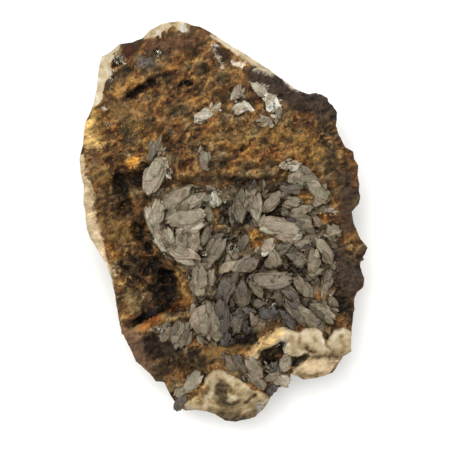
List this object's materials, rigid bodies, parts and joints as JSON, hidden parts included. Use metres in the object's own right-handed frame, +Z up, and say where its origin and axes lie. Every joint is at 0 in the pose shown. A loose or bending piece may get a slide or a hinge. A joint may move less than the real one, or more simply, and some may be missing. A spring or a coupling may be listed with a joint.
{
  "type": "quartz cluster",
  "caption": "Mineral specimen: grey spindle-shaped quartz crystals in the hollow of a lump of brown ironstone with a cream rock edge, lying on a flat back.",
  "frame": {"origin": "under the middle of the outline, on the surface that the specimen rests on", "axes": "+Z up out of the crystal face, +Y along the specimen's length, towards the end with no crystals, +X to the right of it as seen from above"},
  "size_m": [0.0779, 0.1089, 0.0402],
  "materials": {
    "ironstone": "rough broken rock, cream at the edges",
    "quartz": "matt to satin crystal faces"
  },
  "bodies": {
    "root": {"matrix": "ironstone", "crystal_crust": "quartz", "crystal_crust_2": "quartz", "upper_left_blades": "quartz", "upper_left_blades_2": "quartz", "upper_left_blades_3": "quartz", "upper_middle_blade": "quartz", "top_blades": "quartz", "upper_right_tuft": "quartz", "upper_right_tuft_2": "quartz", "upper_right_tuft_3": "quartz", "right_blades": "quartz", "right_blades_2": "quartz", "lower_left_spray": "quartz", "lower_left_spray_2": "quartz", "near_left_blades": "quartz", "near_crystals": "quartz", "near_crystals_2": "quartz", "near_crystals_3": "quartz", "near_crystals_4": "quartz"}
  },
  "joints": []
}
